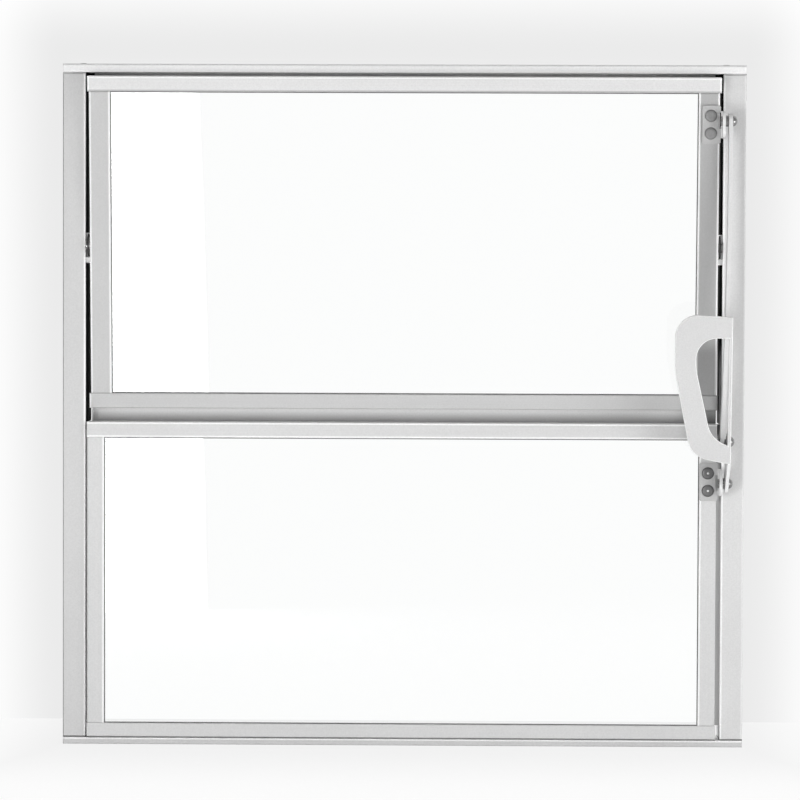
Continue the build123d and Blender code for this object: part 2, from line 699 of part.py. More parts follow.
write("fixed_top_rail", FIXED.rail(panel_section(FIXED_TOP_RAIL), True))
write("fixed_bottom_rail", FIXED.rail(panel_section(FIXED_BOTTOM_RAIL), False))
write("fixed_left_stile", FIXED.upright(-1))
write("fixed_right_stile", FIXED.upright(1))
write("fixed_glass", FIXED.glass())
write("fixed_gasket", FIXED.gasket())
write("fixed_beads", FIXED.beads())
write("fixed_packer", fixed_packer())
write("sill_gasket", sill_gasket())
write("lever_bracket", LEVER_BRACKET.riveted())
write("fulcrum_pin", fulcrum_pin())

write("sash_top_rail", swing_sash(SASH.rail(panel_section(SASH_TOP_RAIL), True)))
write("sash_bottom_rail", swing_sash(SASH.rail(weather_section(SASH_BOTTOM_RAIL), False)))
write("sash_left_stile", sash_stile(-1))
write("sash_right_stile", sash_stile(1))
write("sash_glass", swing_sash(SASH.glass()))
write("sash_gasket", swing_sash(SASH.gasket()))
write("sash_beads", [swing_sash(bead) for bead in SASH.beads()])
write("link_bracket", swing_sash(LINK_BRACKET.riveted()))
write("link_top_pin", link_top_pin())

write("lever_handle", lever_handle())
write("lever_pin", lever_pin())
write("link_bar", link_bar())
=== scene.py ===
import bpy
import math
import numpy as np
from mathutils import Matrix, Vector


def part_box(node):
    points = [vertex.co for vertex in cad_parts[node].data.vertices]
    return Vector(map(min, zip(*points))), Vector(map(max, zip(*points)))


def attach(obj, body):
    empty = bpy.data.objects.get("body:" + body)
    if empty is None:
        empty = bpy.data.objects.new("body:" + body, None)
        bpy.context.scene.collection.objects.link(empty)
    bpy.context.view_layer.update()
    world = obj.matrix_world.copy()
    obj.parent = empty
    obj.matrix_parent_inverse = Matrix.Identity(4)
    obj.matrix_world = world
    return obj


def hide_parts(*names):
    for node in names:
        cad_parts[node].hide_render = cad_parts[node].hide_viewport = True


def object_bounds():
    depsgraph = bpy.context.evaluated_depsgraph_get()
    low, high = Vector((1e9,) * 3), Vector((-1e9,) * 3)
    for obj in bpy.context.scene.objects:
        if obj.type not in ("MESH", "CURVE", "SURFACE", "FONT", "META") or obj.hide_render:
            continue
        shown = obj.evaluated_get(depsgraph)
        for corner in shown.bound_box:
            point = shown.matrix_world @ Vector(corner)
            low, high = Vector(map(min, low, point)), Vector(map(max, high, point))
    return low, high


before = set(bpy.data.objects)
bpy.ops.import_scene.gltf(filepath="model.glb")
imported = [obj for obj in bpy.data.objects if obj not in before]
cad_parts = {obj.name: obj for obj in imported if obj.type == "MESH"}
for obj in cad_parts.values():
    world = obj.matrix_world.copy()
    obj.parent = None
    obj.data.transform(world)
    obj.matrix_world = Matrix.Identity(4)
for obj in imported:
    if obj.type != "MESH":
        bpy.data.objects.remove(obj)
cad_low, cad_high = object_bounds()

# Outer frame
# Four lengths of extruded aluminium in mill finish, sawn square and deburred. The head and sill run through,
# and the jambs stand between them, held by screws through the head into the ports behind the jambs' webs.

MILLIMETRE = 0.001
TO_ROOM = np.array((0.0, -1.0, 0.0))
RIGHT = np.array((1.0, 0.0, 0.0))
UP = np.array((0.0, 0.0, 1.0))

LEFT_JAMB_TONE = 0.645
RIGHT_JAMB_TONE = 0.7
# Painted highlight: the right jamb's outer edge is lighter.
RIGHT_CORNER_HIGHLIGHT_TONE = 0.8
# Painted light: the head is a much lighter copy of the frame's aluminium.
HEAD_LIT_TONE = 0.92
# Painted shade along the head's top edge.
HEAD_TOP_SHADE_TONE = 0.7
SILL_TONE = 0.62
# Painted highlight: the bright tone along the members' edges and the rails' sawn ends.
HIGHLIGHT_TONE = 0.98
RIM_START = 0.3 * MILLIMETRE
RIM_END = 1.3 * MILLIMETRE
LEVEL_SLACK = 0.05 * MILLIMETRE

METAL_SHARE = 0.2
SATIN = 0.66
SATIN_SPREAD = 0.05
DIE_LINES_PER_METRE = 1500.0
LINE_STRETCH = 4.0
LINE_SPREAD = 0.025
LINE_RELIEF = 0.0004
CLOUDS_PER_METRE = 11.0
CLOUD_SPREAD = 0.025
SPECKS_PER_METRE = 800.0
SPECK_SPREAD = 0.04
NOISE_RANGE = (0.25, 0.75)
ALONG_UPRIGHT = (1.0, 1.0, LINE_STRETCH / DIE_LINES_PER_METRE)
ALONG_RAIL = (LINE_STRETCH / DIE_LINES_PER_METRE, 1.0, 1.0)

CORNER_PAINTED_SHADE = 0.5
CORNER_MIDDLE = (-0.3, -0.018, 0.3)
CORNER_HALF = (0.0006, 0.0012, 0.31)
STOP_PAINTED_SHADE = 0.36
STOP_MIDDLE = (0.0, 0.0, 0.586)
STOP_HALF = (0.3, 0.016, 0.0065)
SHARP_FADE = 0.4 * MILLIMETRE


def joined(tree, kind, *inputs):
    """New node of a kind, with its first inputs linked to the sockets given, or set to the numbers given."""
    node = tree.nodes.new(kind)
    for socket, source in zip(node.inputs, inputs):
        if isinstance(source, bpy.types.NodeSocket):
            tree.links.new(source, socket)
        else:
            socket.default_value = source
    return node


def spread(tree, value, from_low, from_high, to_low, to_high, curve="LINEAR"):
    """Value carried from one range to another and held at its ends."""
    node = joined(tree, "ShaderNodeMapRange", value, from_low, from_high, to_low, to_high)
    node.interpolation_type = curve
    return node.outputs["Result"]


def combined(tree, operation, first, second):
    """Two numbers put together, such as their product or the larger of both."""
    node = joined(tree, "ShaderNodeMath", first, second)
    node.operation = operation
    return node.outputs["Value"]


def vectors(tree, operation, *inputs):
    """Vectors put together: their difference, product or largest parts, or one vector's sizes."""
    node = joined(tree, "ShaderNodeVectorMath", *inputs)
    node.operation = operation
    return node.outputs["Vector"]


def measure(tree, operation, *inputs):
    """One number from vectors: a length, or the product of two along one of them."""
    node = joined(tree, "ShaderNodeVectorMath", *inputs)
    node.operation = operation
    return node.outputs["Value"]


def own_place(tree):
    """Where a point lies in the piece's own coordinates."""
    return tree.nodes.new("ShaderNodeTexCoord").outputs["Object"]


def band(tree, scale, low, high, detail=2.0):
    """Noise on the piece's own coordinates, stretched by a scale for each axis, between two values."""
    stretch = joined(tree, "ShaderNodeMapping", own_place(tree))
    stretch.inputs["Scale"].default_value = scale
    noise = joined(tree, "ShaderNodeTexNoise", stretch.outputs["Vector"])
    noise.inputs["Scale"].default_value = 1.0
    noise.inputs["Detail"].default_value = detail
    return spread(tree, noise.outputs["Fac"], *NOISE_RANGE, low, high)


def mottled(tree, per_metre, value, share, detail=2.0):
    """Noise that is even along all axes, round a value and a share of it to both sides."""
    return band(tree, (per_metre,) * 3, (1.0 - share) * value, (1.0 + share) * value, detail)


def bump(tree, shader, height, depth):
    """Tilt the surface by a height of so many metres."""
    node = tree.nodes.new("ShaderNodeBump")
    node.inputs["Strength"].default_value = 1.0
    node.inputs["Distance"].default_value = depth
    tree.links.new(height, node.inputs["Height"])
    tree.links.new(node.outputs["Normal"], shader.inputs["Normal"])


def blank_finish(name, **values):
    """New material with one shader, whose even values are set on its sockets."""
    material = bpy.data.materials.new(name)
    material.use_nodes = True
    shader = material.node_tree.nodes["Principled BSDF"]
    for socket, value in values.items():
        shader.inputs[socket.replace("_", " ")].default_value = value
    return material, material.node_tree, shader


def paint(tree, shader, colour, painted_light=()):
    """Link a tone to the shader's colour, times the factor that each painted light or shade function gives.
    """
    for factor in painted_light:
        colour = combined(tree, "MULTIPLY", colour, factor(tree))
    tree.links.new(colour, shader.inputs["Base Color"])


def aluminium(name, tone, along, *painted_light):
    """Bare aluminium: a grey of even tone with lines drawn along the member, faint clouds and a fine speck.

    Tone = tone x lines x clouds x specks x painted light and shade. The lines also make the gloss uneven
    and stand a few microns proud.
    """
    material, tree, shader = blank_finish(name, Metallic=METAL_SHARE)
    lines_scale = tuple(DIE_LINES_PER_METRE * part for part in along)
    lines = band(tree, lines_scale, 1.0 - LINE_SPREAD, 1.0 + LINE_SPREAD, detail=3.0)
    clouds = mottled(tree, CLOUDS_PER_METRE, 1.0, CLOUD_SPREAD)
    specks = mottled(tree, SPECKS_PER_METRE, tone, SPECK_SPREAD, detail=1.0)
    colour = combined(tree, "MULTIPLY", combined(tree, "MULTIPLY", lines, clouds), specks)
    paint(tree, shader, colour, painted_light)
    gloss = band(tree, lines_scale, SATIN - SATIN_SPREAD, SATIN + SATIN_SPREAD)
    tree.links.new(gloss, shader.inputs["Roughness"])
    bump(tree, shader, lines, LINE_RELIEF)
    return material


def dress(material, *nodes):
    """Give CAD pieces a finish."""
    for node in nodes:
        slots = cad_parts[node].data.materials
        slots.clear()
        slots.append(material)


def corners_of(node):
    """All corner points of a CAD piece."""
    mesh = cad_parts[node].data
    points = np.empty(3 * len(mesh.vertices))
    mesh.vertices.foreach_get("co", points)
    return points.reshape(-1, 3)


def outermost(points, outwards):
    """Those of some points that lie furthest outwards."""
    height = points @ outwards
    return points[height > height.max() - LEVEL_SLACK]


def painted_edge_light(node, tone, across, outwards, low_edge, high_edge):
    """Painted light along two edges of a member's face: a painted highlight, or painted shade in a joint.

    The face's corners are those that lie furthest outwards. With s the place across the face, the tone
    changes to that of an edge over about a millimetre where s comes near its end of the face.
    """
    face = outermost(corners_of(node), outwards) @ across

    def factor(tree):
        s = measure(tree, "DOT_PRODUCT", own_place(tree), across)
        low = spread(tree, s, face.min() + RIM_START, face.min() + RIM_END, low_edge / tone, 1.0)
        high = spread(tree, s, face.max() - RIM_END, face.max() - RIM_START, 1.0, high_edge / tone)
        return combined(tree, "MULTIPLY", low, high)

    return factor


def outside_box(tree, centre, half):
    """How far a point lies beyond a box, given by its middle and half sizes, along each axis."""
    offset = vectors(tree, "SUBTRACT", own_place(tree), centre)
    return vectors(tree, "SUBTRACT", vectors(tree, "ABSOLUTE", offset), half)


def fading(tree, beyond, inside, reach):
    """A value inside a box that changes to 1 with the distance from it."""
    outside = vectors(tree, "MAXIMUM", beyond, (0.0, 0.0, 0.0))
    distance = measure(tree, "LENGTH", outside)
    return spread(tree, distance, 0.0, reach, inside, 1.0, "SMOOTHSTEP")


def painted_patch(inside, centre, half, reach):
    """Painted light or shade in one place: a factor of the tone inside a box that fades out round it."""
    return lambda tree: fading(tree, outside_box(tree, centre, half), inside, reach)


def dress_upright(node, tone, left_edge, right_edge, *painted_light, outwards=TO_ROOM):
    """Finish a jamb or stile, with the painted highlight or shade along its edges."""
    painted_edges = painted_edge_light(node, tone, RIGHT, outwards, left_edge, right_edge)
    dress(aluminium(node + "_aluminium", tone, ALONG_UPRIGHT, painted_edges, *painted_light), node)


def dress_rail(node, tone, low_edge, high_edge, *painted_light, up=UP, outwards=TO_ROOM):
    """Finish a head, sill or rail, with the painted highlight or shade along its edges."""
    painted_edges = painted_edge_light(node, tone, up, outwards, low_edge, high_edge)
    dress(aluminium(node + "_aluminium", tone, ALONG_RAIL, painted_edges, *painted_light), node)


# Painted shade: a dark line down the left jamb's outer corner.
left_corner_painted_shade = painted_patch(CORNER_PAINTED_SHADE, CORNER_MIDDLE, CORNER_HALF, SHARP_FADE)
# Painted shade: the head's stop, seen in the gap over the upper light, is darkened.
stop_painted_shade = painted_patch(STOP_PAINTED_SHADE, STOP_MIDDLE, STOP_HALF, SHARP_FADE)
dress_upright("left_jamb", LEFT_JAMB_TONE, LEFT_JAMB_TONE, HIGHLIGHT_TONE, left_corner_painted_shade)
dress_upright("right_jamb", RIGHT_JAMB_TONE, HIGHLIGHT_TONE, RIGHT_CORNER_HIGHLIGHT_TONE)
dress_rail("head", HEAD_LIT_TONE, HIGHLIGHT_TONE, HEAD_TOP_SHADE_TONE, stop_painted_shade)
dress_rail("sill", SILL_TONE, SILL_TONE, HIGHLIGHT_TONE)

# Screws in the head
# Four low-headed steel screws on top of the head, two over each jamb, driven into the jambs' screw ports.
# Each head is turned, with a round drive recess in its middle.

TURNED_SIDES = 40
NEARLY_UPRIGHT = 0.9
SMOOTH_ANGLE = math.radians(35.0)
SCREW_INSET = 3.5 * MILLIMETRE
SCREW_PLACES = (-0.5 * MILLIMETRE, 9.5 * MILLIMETRE)
STEEL_TONE = 0.36
STEEL_SHARE = 0.75
STEEL_SPECKS_PER_METRE = 1600.0
STEEL_SPREAD = 0.1
STEEL_ROUGHNESS = 0.34
STEEL_GLOSS_PER_METRE = 400.0
STEEL_GLOSS_SPREAD = 0.06

SCREW_PROFILE = [
    (0.0, 0.0), (0.0, 3.6), (0.3, 3.6), (1.0, 3.0), (1.25, 2.0), (1.25, 1.3), (0.5, 1.2), (0.5, 0.0),
]


def quiet_steel(name, tone, roughness=STEEL_ROUGHNESS):
    """Dull plated steel with a fine speck and a faint cloud in its gloss."""
    material, tree, shader = blank_finish(name, Metallic=STEEL_SHARE)
    paint(tree, shader, mottled(tree, STEEL_SPECKS_PER_METRE, tone, STEEL_SPREAD))
    smooth = roughness - STEEL_GLOSS_SPREAD
    rough = roughness + STEEL_GLOSS_SPREAD
    gloss = band(tree, (STEEL_GLOSS_PER_METRE,) * 3, smooth, rough)
    tree.links.new(gloss, shader.inputs["Roughness"])
    return material


def turned(name, profile, places, axis, material, body):
    """Turned pieces in one mesh, one at each place: a profile swept once round an axis.

    A point of the profile is a length along the axis and a radius, in millimetres. With u and v square to
    the axis, it sweeps place + length x axis + radius x (u cos t + v sin t). Points on the axis close the
    two ends.
    """
    axis = np.array(axis, dtype=float)
    u = np.cross(axis, UP) if abs(axis[2]) < NEARLY_UPRIGHT else RIGHT
    u = u / np.linalg.norm(u)
    v = np.cross(axis, u)
    length, radius = np.array(profile).T * MILLIMETRE
    t = np.linspace(0.0, 2.0 * math.pi, TURNED_SIDES, endpoint=False)
    circle = np.cos(t)[:, None] * u + np.sin(t)[:, None] * v
    rings = length[1:-1, None, None] * axis + radius[1:-1, None, None] * circle
    ends = length[[0, -1], None] * axis
    one = np.vstack([rings.reshape(-1, 3), ends])
    points = (np.array(places)[:, None, :] + one).reshape(-1, 3)

    side = np.arange(TURNED_SIDES)
    after = (side + 1) % TURNED_SIDES
    quad = np.stack([side, after, after + TURNED_SIDES, side + TURNED_SIDES], -1)
    ring_starts = np.arange(len(rings) - 1)[:, None, None] * TURNED_SIDES
    walls = (ring_starts + quad).reshape(-1, 4)
    last_ring = (len(rings) - 1) * TURNED_SIDES
    start_fan = np.stack([after, side, np.full_like(side, len(one) - 2)], -1)
    end_fan = np.stack([last_ring + side, last_ring + after, np.full_like(side, len(one) - 1)], -1)
    fans = np.vstack([start_fan, end_fan])
    copy_starts = np.arange(len(places))[:, None, None] * len(one)
    all_walls = (copy_starts + walls).reshape(-1, 4)
    all_fans = (copy_starts + fans).reshape(-1, 3)

    mesh = bpy.data.meshes.new(name)
    mesh.from_pydata(points.tolist(), [], all_walls.tolist() + all_fans.tolist())
    mesh.shade_smooth()
    mesh.set_sharp_from_angle(angle=SMOOTH_ANGLE)
    mesh.materials.append(material)
    piece = bpy.data.objects.new(name, mesh)
    bpy.context.scene.collection.objects.link(piece)
    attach(piece, body)
    return piece


jamb_faces = (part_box("left_jamb")[1].x - SCREW_INSET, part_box("right_jamb")[0].x + SCREW_INSET)
screw_places = [(x, y, cad_high.z) for x in jamb_faces for y in SCREW_PLACES]
screw_steel = quiet_steel("screw_steel", STEEL_TONE)
turned("head_screws", SCREW_PROFILE, screw_places, (0, 0, 1), screw_steel, "frame")

# Seals
# Black extruded rubber and foam, pressed in: pads at the jamb ends and the head's stop, weather strips
# beside the upper light and the setting strip on the sill. A short dark cord at the transom's right end is
# painted shade: it stands in for the shade in the gap there.

STRIP_TONE = 0.002
SETTING_TONE = 0.22
PAD_TONE = 0.22
CORD_SHADE_TONE = 0.1
RUBBER_ROUGHNESS = 0.8
RUBBER_SHEEN = 0.06
BLOOM_PER_METRE = 60.0
BLOOM_SPREAD = 0.3
PEBBLES_PER_METRE = 2500.0
PEBBLE_RELIEF = 0.0001

# Painted light: the right weather strip is lighter grey behind the lever.
STRIP_LIGHT_GAIN = 90.0
STRIP_LIGHT_MIDDLE = (0.28, 0.0, 0.3)
STRIP_LIGHT_HALF = (0.02, 0.03, 0.03)
STRIP_LIGHT_REACH = 0.03
# Painted light: the pads at the head are lighter than the same rubber at the sill.
TOP_PAD_LIGHT_GAIN = 2.4
TOP_PAD_LIGHT_MIDDLE = (0.0, 0.0, 0.594)
TOP_PAD_LIGHT_HALF = (0.31, 0.03, 0.01)
TOP_PAD_LIGHT_REACH = 0.01

CORD_DEPTH = -0.012
CORD_FOOT = 0.272
CORD_PROFILE = [(0.0, 0.0), (0.0, 2.0), (13.0, 2.0), (13.0, 0.0)]


def rubber(name, tone, *painted_light):
    """Matt black rubber with a faint bloom and a fine pebble."""
    material, tree, shader = blank_finish(name, Roughness=RUBBER_ROUGHNESS, Specular_IOR_Level=RUBBER_SHEEN)
    paint(tree, shader, mottled(tree, BLOOM_PER_METRE, tone, BLOOM_SPREAD, detail=3.0), painted_light)
    pebble = band(tree, (PEBBLES_PER_METRE,) * 3, 0.0, 1.0)
    bump(tree, shader, pebble, PEBBLE_RELIEF)
    return material


strip_painted_light = painted_patch(STRIP_LIGHT_GAIN, STRIP_LIGHT_MIDDLE, STRIP_LIGHT_HALF, STRIP_LIGHT_REACH)
top_pads_painted_light = painted_patch(TOP_PAD_LIGHT_GAIN, TOP_PAD_LIGHT_MIDDLE, TOP_PAD_LIGHT_HALF, TOP_PAD_LIGHT_REACH)
dress(rubber("weather_strip_rubber", STRIP_TONE, strip_painted_light), "side_seals")
dress(rubber("sill_rubber", SETTING_TONE), "sill_gasket")
dress(rubber("pad_rubber", PAD_TONE, top_pads_painted_light), "corner_seals")

# Painted shade: this dark cord stands in for the shade in the gap at the transom's right end.
cord_across = (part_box("fixed_top_rail")[1].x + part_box("right_jamb")[0].x) / 2
cord_place = (cord_across, CORD_DEPTH, CORD_FOOT)
cord_shade_rubber = rubber("cord_shade_rubber", CORD_SHADE_TONE)
turned("transom_end_shade_cord", CORD_PROFILE, [cord_place], (0, 0, 1), cord_shade_rubber, "frame")

# Fixed lower light
# Two rails that run through and two stiles between them, extruded like the frame. Sloped beads hold the pane
# on its flat gasket from outside, and a packer fills the wider gap on the right.

FIXED_TONE = 0.68
BEAD_TONE = 0.9
# Painted shade: the packer in its narrow gap is a darker copy of the aluminium.
PACKER_SHADE_TONE = 0.45
GASKET_TONE = 0.16
EVEN_GRAIN = (1.0, 1.0, 1.0)
# Painted shadow of the lever on the rails and stile round its right end.
LEVER_SHADOW_SHADE = 0.6
LEVER_SHADOW_MIDDLE = (0.279, -0.015, 0.31)
LEVER_SHADOW_HALF = (0.02, 0.05, 0.035)
LEVER_SHADOW_REACH = 0.02
GLASS_INDEX = 1.45
GLASS_SHEEN = 0.15
GLASS_TINT = (0.992, 1.0, 0.997, 1.0)
WAVES_PER_METRE = 9.0
WAVE_RELIEF = 0.00002

# Painted shadow of the lever.
lever_shadow = painted_patch(LEVER_SHADOW_SHADE, LEVER_SHADOW_MIDDLE, LEVER_SHADOW_HALF, LEVER_SHADOW_REACH)
dress_upright("fixed_left_stile", FIXED_TONE, FIXED_TONE, HIGHLIGHT_TONE)
dress_upright("fixed_right_stile", FIXED_TONE, HIGHLIGHT_TONE, FIXED_TONE)
dress_rail("fixed_top_rail", FIXED_TONE, HIGHLIGHT_TONE, HIGHLIGHT_TONE, lever_shadow)
dress_rail("fixed_bottom_rail", FIXED_TONE, FIXED_TONE, FIXED_TONE)
dress(aluminium("bead_aluminium", BEAD_TONE, EVEN_GRAIN), "fixed_beads", "sash_beads")
dress(aluminium("packer_shaded_aluminium", PACKER_SHADE_TONE, ALONG_UPRIGHT), "fixed_packer")
dress(rubber("glazing_rubber", GASKET_TONE), "fixed_gasket", "sash_gasket")


def window_glass(name):
    """Clear float glass, with a very slight waviness in its faces."""
    material, tree, shader = blank_finish(name, IOR=GLASS_INDEX, Roughness=0.0, Transmission_Weight=1.0)
    shader.inputs["Base Color"].default_value = GLASS_TINT
    shader.inputs["Specular IOR Level"].default_value = GLASS_SHEEN
    waves = band(tree, (WAVES_PER_METRE,) * 3, 0.0, 1.0, detail=1.0)
    bump(tree, shader, waves, WAVE_RELIEF)
    return material


dress(window_glass("clear_float_glass"), "fixed_glass", "sash_glass")

# Side pivots
# Steel pins through the jambs' webs, and on each a moulded nylon washer in the gap, with a foot that seats
# on the jamb. The washer is dark beyond a radius about the pin, except on its foot.

PIVOT_TONE = 0.45
WASHER_TONE = 0.6
WASHER_ROUGHNESS = 0.5
WASHER_FACE = 8.0 * MILLIMETRE
DARK_RIM_WIDTH = 0.6 * MILLIMETRE
DARK_RIM_TONE = 0.04
FOOT_START = -9.4 * MILLIMETRE
FOOT_FULL = -10.2 * MILLIMETRE
FOOT_GAIN = 1.2
MOTTLE_PER_METRE = 300.0
MOTTLE_SPREAD = 0.1
ACROSS_PIN = (0.0, 1.0, 1.0)


def parts_of(tree, vector):
    """The X, Y and Z of a vector."""
    return joined(tree, "ShaderNodeSeparateXYZ", vector).outputs


def nylon(name, centre):
    """Grey nylon with a faint mottle, blackened beyond a radius about the pin and grey again on the foot."""
    material, tree, shader = blank_finish(name, Roughness=WASHER_ROUGHNESS)
    offset = vectors(tree, "SUBTRACT", own_place(tree), centre)
    flat = vectors(tree, "MULTIPLY", offset, ACROSS_PIN)
    radius = measure(tree, "LENGTH", flat)
    height = parts_of(tree, flat)["Z"]
    face = spread(tree, radius, WASHER_FACE, WASHER_FACE + DARK_RIM_WIDTH, 1.0, DARK_RIM_TONE)
    foot = spread(tree, height, FOOT_FULL, FOOT_START, FOOT_GAIN, 0.0)
    mottle = mottled(tree, MOTTLE_PER_METRE, WASHER_TONE, MOTTLE_SPREAD)
    undarkened = combined(tree, "MAXIMUM", face, foot)
    paint(tree, shader, combined(tree, "MULTIPLY", mottle, undarkened))
    return material


dress(quiet_steel("pivot_steel", PIVOT_TONE), "left_pivot_pin", "right_pivot_pin")
for hand in ("left", "right"):
    low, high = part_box(hand + "_pivot_pin")
    dress(nylon(hand + "_washer_nylon", (low + high) / 2), hand + "_pivot_washer")

# Pivoted upper light
# Built as the fixed one, with a weather flange on its bottom rail that hangs down outside the transom. The
# light stands ajar, top towards the room.

SASH_TONE = 0.585
# Painted light: the top rail is a lighter copy of the sash's aluminium.
SASH_TOP_LIT_TONE = 0.76
SHADED_STILE_TONE = 0.475
# Painted shade along the top rail's edge at the pane.
JOINT_SHADE_TONE = 0.5
# Painted shadow of the transom and painted highlight on the weather flange.
FLANGE_SHADOW_SHADE = 0.4
FLANGE_SHADOW_RISE = 9.0 * MILLIMETRE
ROOT_HIGHLIGHT_GAIN = 1.3
ROOT_HIGHLIGHT_FROM = 2.0 * MILLIMETRE
ROOT_HIGHLIGHT_TO = 4.0 * MILLIMETRE
SASH_AJAR = math.radians(4.5)
SASH_TO_ROOM = np.array((0.0, -math.cos(SASH_AJAR), -math.sin(SASH_AJAR)))
SASH_UP = np.array((0.0, -math.sin(SASH_AJAR), math.cos(SASH_AJAR)))


def flange_light_and_shadow(tree):
    """Painted light and shade on the weather flange: a highlight at its root, and the transom's shadow below
    it.

    With w = 0 on the rail's room side and 1 outside, the factor is 1 + w (transom_shadow x root_highlight -
    1).
    """
    parts = parts_of(tree, own_place(tree))
    transom_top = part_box("fixed_top_rail")[1].z
    root = transom_top + FLANGE_SHADOW_RISE
    transom_shadow = spread(tree, parts["Z"], transom_top, root, FLANGE_SHADOW_SHADE, 1.0)
    root_highlight = spread(tree, parts["Z"], root + ROOT_HIGHLIGHT_FROM, root + ROOT_HIGHLIGHT_TO, ROOT_HIGHLIGHT_GAIN, 1.0)
    outside = spread(tree, parts["Y"], 0.0, MILLIMETRE, 0.0, 1.0)
    change = combined(tree, "SUBTRACT", combined(tree, "MULTIPLY", transom_shadow, root_highlight), 1.0)
    return combined(tree, "ADD", combined(tree, "MULTIPLY", outside, change), 1.0)


tilted = {"up": SASH_UP, "outwards": SASH_TO_ROOM}
# Painted highlights at the rails' sawn ends.
top_end_highlights = painted_edge_light("sash_top_rail", SASH_TOP_LIT_TONE, RIGHT, SASH_TO_ROOM, HIGHLIGHT_TONE, HIGHLIGHT_TONE)
bottom_end_highlight = painted_edge_light("sash_bottom_rail", SASH_TONE, RIGHT, SASH_TO_ROOM, HIGHLIGHT_TONE, SASH_TONE)
bottom_painted_light = (bottom_end_highlight, flange_light_and_shadow, lever_shadow)
dress_upright("sash_left_stile", SASH_TONE, HIGHLIGHT_TONE, HIGHLIGHT_TONE, outwards=SASH_TO_ROOM)
dress_upright("sash_right_stile", SHADED_STILE_TONE, HIGHLIGHT_TONE, HIGHLIGHT_TONE, lever_shadow, outwards=SASH_TO_ROOM)
dress_rail("sash_top_rail", SASH_TOP_LIT_TONE, JOINT_SHADE_TONE, HIGHLIGHT_TONE, top_end_highlights, **tilted)
dress_rail("sash_bottom_rail", SASH_TONE, SASH_TONE, SASH_TONE, *bottom_painted_light, **tilted)

# Brackets and rivets
# Two angles stamped from aluminium sheet, each held to its stile by two blind rivets. A rivet has a low dark
# flange, and the lower ones still show the bright ends of their snapped stems. The lugs carry a painted
# highlight.

LEVER_BRACKET_TONE = 0.52
LINK_BRACKET_TONE = 0.52
LUG_HIGHLIGHT_GAIN = 1.6
FOLD_START = 3.6 * MILLIMETRE
FOLD_END = 2.6 * MILLIMETRE
LEVER_RIVET_TONE = 0.17
LEVER_RIVET_ROUGHNESS = 0.5
LINK_RIVET_TONE = 0.3
LINK_RIVET_ROUGHNESS = 0.6
STEM_TONE = 0.6
PLATE_REACH = 13.0 * MILLIMETRE
RIVET_HEAD = 1.4 * MILLIMETRE

FLANGE_PROFILE = [
    (0.05, 0.0), (0.05, 5.35), (0.6, 5.3), (1.1, 4.95), (1.45, 4.4), (1.5, 2.0), (1.44, 1.7), (1.44, 0.0),
]
STEM_PROFILE = [(0.5, 0.0), (0.5, 1.0), (1.6, 1.0), (1.75, 0.7), (1.75, 0.0)]


def lug_highlight(tree):
    """1 on a bracket's plate, rising across its fold to a painted highlight on the lug."""
    across = parts_of(tree, own_place(tree))["X"]
    lug_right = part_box("lever_bracket")[1].x
    return spread(tree, across, lug_right - FOLD_START, lug_right - FOLD_END, 1.0, LUG_HIGHLIGHT_GAIN)


def rivet_places(bracket, outwards):
    """Middles of both rivets' seats: left of a bracket's lug, the rivets' crowns lie furthest outwards."""
    points = corners_of(bracket)
    plate = points[points[:, 0] < points[:, 0].min() + PLATE_REACH]
    crown = outermost(plate, outwards)
    split = crown[:, 2].mean()
    halves = (crown[crown[:, 2] < split], crown[crown[:, 2] > split])
    return [(half.min(axis=0) + half.max(axis=0)) / 2 - RIVET_HEAD * outwards for half in halves]


dress(aluminium("lever_bracket_aluminium", LEVER_BRACKET_TONE, EVEN_GRAIN, lug_highlight), "lever_bracket")
dress(aluminium("link_bracket_aluminium", LINK_BRACKET_TONE, EVEN_GRAIN, lug_highlight), "link_bracket")

lever_flange = quiet_steel("lever_rivet_metal", LEVER_RIVET_TONE, LEVER_RIVET_ROUGHNESS)
link_flange = quiet_steel("link_rivet_metal", LINK_RIVET_TONE, LINK_RIVET_ROUGHNESS)
stem_metal = quiet_steel("rivet_stem_steel", STEM_TONE)
lower_places = rivet_places("lever_bracket", TO_ROOM)
upper_places = rivet_places("link_bracket", SASH_TO_ROOM)
for name, profile, places, outwards, metal, body in (
    ("lever_bracket_rivets", FLANGE_PROFILE, lower_places, TO_ROOM, lever_flange, "frame"),
    ("link_bracket_rivets", FLANGE_PROFILE, upper_places, SASH_TO_ROOM, link_flange, "sash"),
    ("lever_bracket_rivet_stems", STEM_PROFILE, lower_places, TO_ROOM, stem_metal, "frame"),
):
    turned(name, profile, places, outwards, metal, body)

# Pins
# Turned steel pins with domed heads: one carries the lever on its bracket, one hangs the link on the upper
# light's bracket, and both are riveted over behind the lug. One in the lever carries the link's foot.

PIN_TONE = 0.3
PIN_ROUGHNESS = 0.24
PIN_TAIL = 1.2
PIN_TAIL_RADIUS = 4.2
DOME_RADIUS = 4.7
DOME_HEIGHT = 4.0
DOME_STEPS = 9

PIN_STEPS = {
    "fulcrum_pin": ("frame", -PIN_TAIL, [(PIN_TAIL, PIN_TAIL_RADIUS), (2.5, 3.0), (1.9, 5.0), (3.4, 3.0)]),
    "link_top_pin": ("sash", -PIN_TAIL, [(PIN_TAIL, PIN_TAIL_RADIUS), (2.5, 3.0), (2.6, 5.0), (4.1, 3.0)]),
    "lever_pin": ("lever", 0.0, [(1.2, 6.5), (6.1, 2.3), (0.6, 5.0), (2.8, 2.3)]),
}


